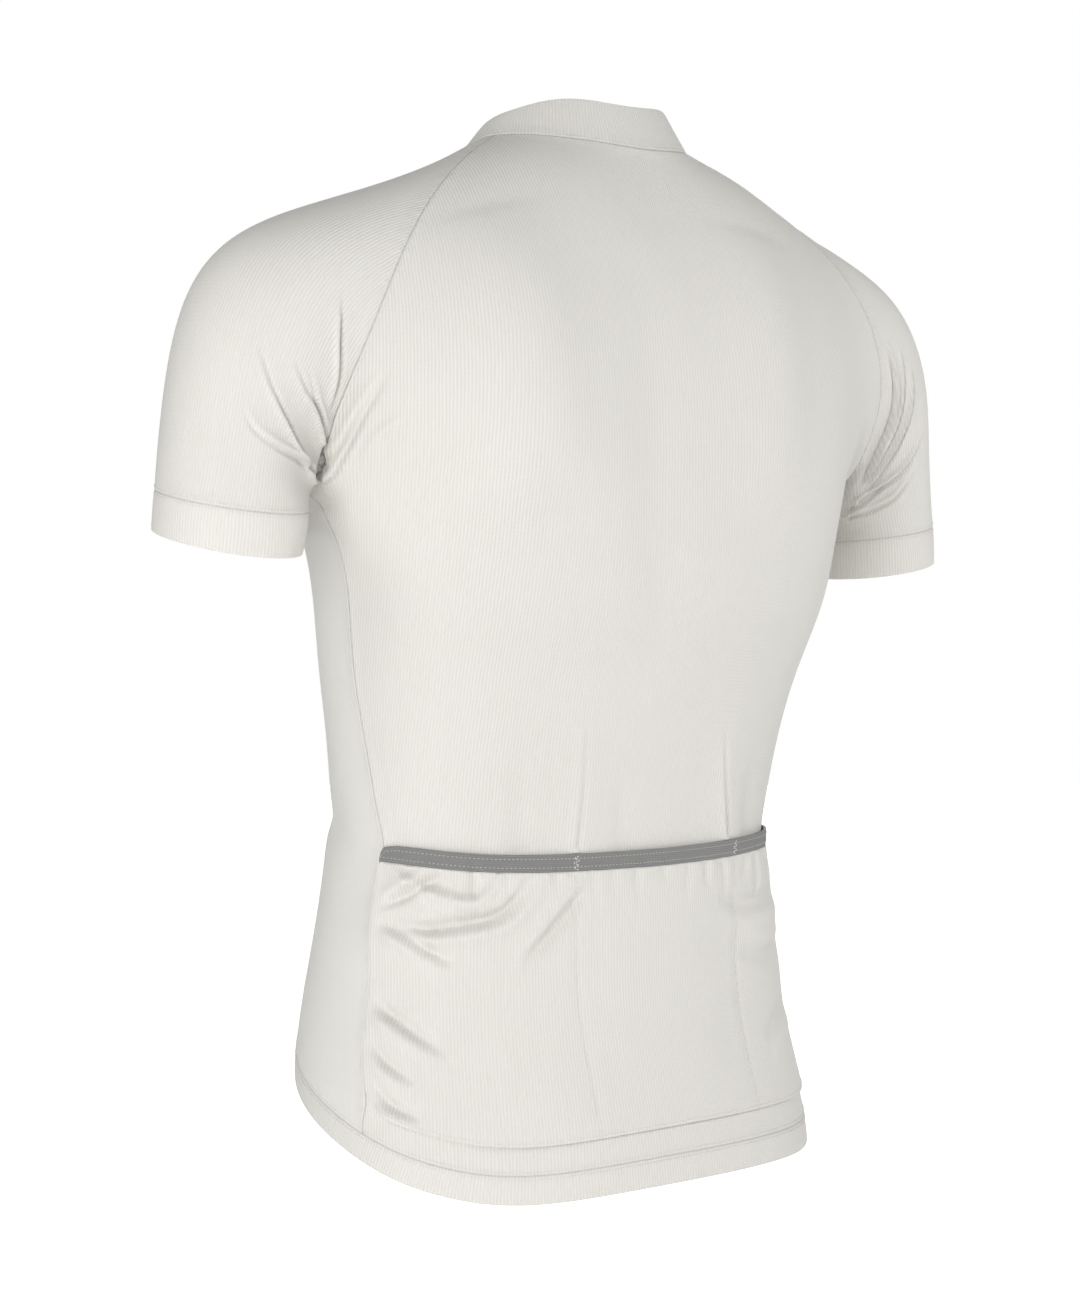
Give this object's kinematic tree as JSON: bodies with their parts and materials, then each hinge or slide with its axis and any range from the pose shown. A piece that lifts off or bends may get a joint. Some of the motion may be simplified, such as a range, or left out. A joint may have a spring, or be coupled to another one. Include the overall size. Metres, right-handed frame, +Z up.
{
  "type": "cycling jersey",
  "caption": "Short-sleeved raglan cycling jersey in off-white ribbed knit, filled out as if worn, with a low standing collar, front zip, long tail and grey elastic over back pockets.",
  "frame": {"origin": "middle of the neck opening, level with the back neck seam, where the wearer's neck and shoulders hold the jersey up", "axes": "+Z up along the wearer's trunk, -Y out of the chest with the zip, +X towards the wearer's left sleeve"},
  "size_m": [0.6563, 0.2803, 0.7131],
  "materials": {
    "knit": "soft matte knit with a faint rib",
    "elastic": "matte woven elastic",
    "tape": "matte woven zip tape",
    "metal": "satin off-white paint"
  },
  "bodies": {
    "garment": {"back": "knit", "front_left": "knit", "front_right": "knit", "sleeve_left": "knit", "sleeve_right": "knit", "collar": "knit", "cuff_left": "knit", "cuff_right": "knit", "hem_band": "knit", "zip_tape_left": "tape", "zip_tape_right": "tape", "pocket_panel": "knit", "pocket_elastic": "elastic", "zip_slider": "metal"},
    "pull_tab": {"zip_pull": "metal"}
  },
  "joints": [
    {"name": "zip_pull_swing", "type": "hinge", "parent": "garment", "child": "pull_tab", "pos_m": [0, -0.09479, -0.04347], "axis": [-1, 0, 0], "range_deg": [0, 150]}
  ]
}
